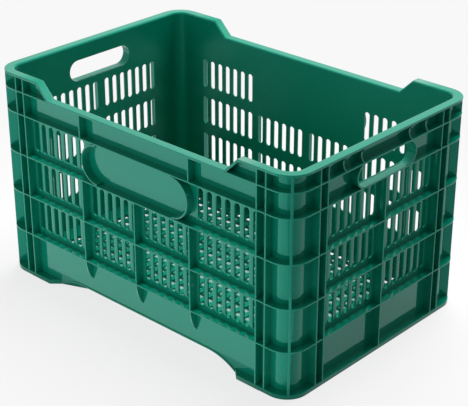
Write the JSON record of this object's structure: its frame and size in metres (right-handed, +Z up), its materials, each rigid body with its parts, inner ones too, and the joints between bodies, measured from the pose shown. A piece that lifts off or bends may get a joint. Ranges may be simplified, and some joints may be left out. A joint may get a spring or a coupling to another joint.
{
  "type": "stacking harvest crate",
  "caption": "Rigid open-top harvest crate with slotted ribbed walls, dipped long rims, end hand holes and a slotted floor, for picking and stacking produce.",
  "frame": {"origin": "centre of the crate's plan at the underside of its feet", "axes": "+X along the length towards the right end wall, +Y towards the back long wall, +Z up out of the open top"},
  "size_m": [0.545, 0.364, 0.31],
  "materials": {
    "green_plastic": "glossy moulded green polyethylene"
  },
  "bodies": {
    "root": {"floor_grid": "green_plastic", "floor_ribs": "green_plastic", "front_grille": "green_plastic", "front_label_frame": "green_plastic", "front_rim": "green_plastic", "front_skirt": "green_plastic", "back_grille": "green_plastic", "back_label_frame": "green_plastic", "back_rim": "green_plastic", "back_skirt": "green_plastic", "right_grille": "green_plastic", "right_hand_hole_panel": "green_plastic", "right_rim": "green_plastic", "right_skirt": "green_plastic", "left_grille": "green_plastic", "left_hand_hole_panel": "green_plastic", "left_rim": "green_plastic", "left_skirt": "green_plastic", "front_right_post": "green_plastic", "front_left_post": "green_plastic", "back_right_post": "green_plastic", "back_left_post": "green_plastic"}
  },
  "joints": []
}
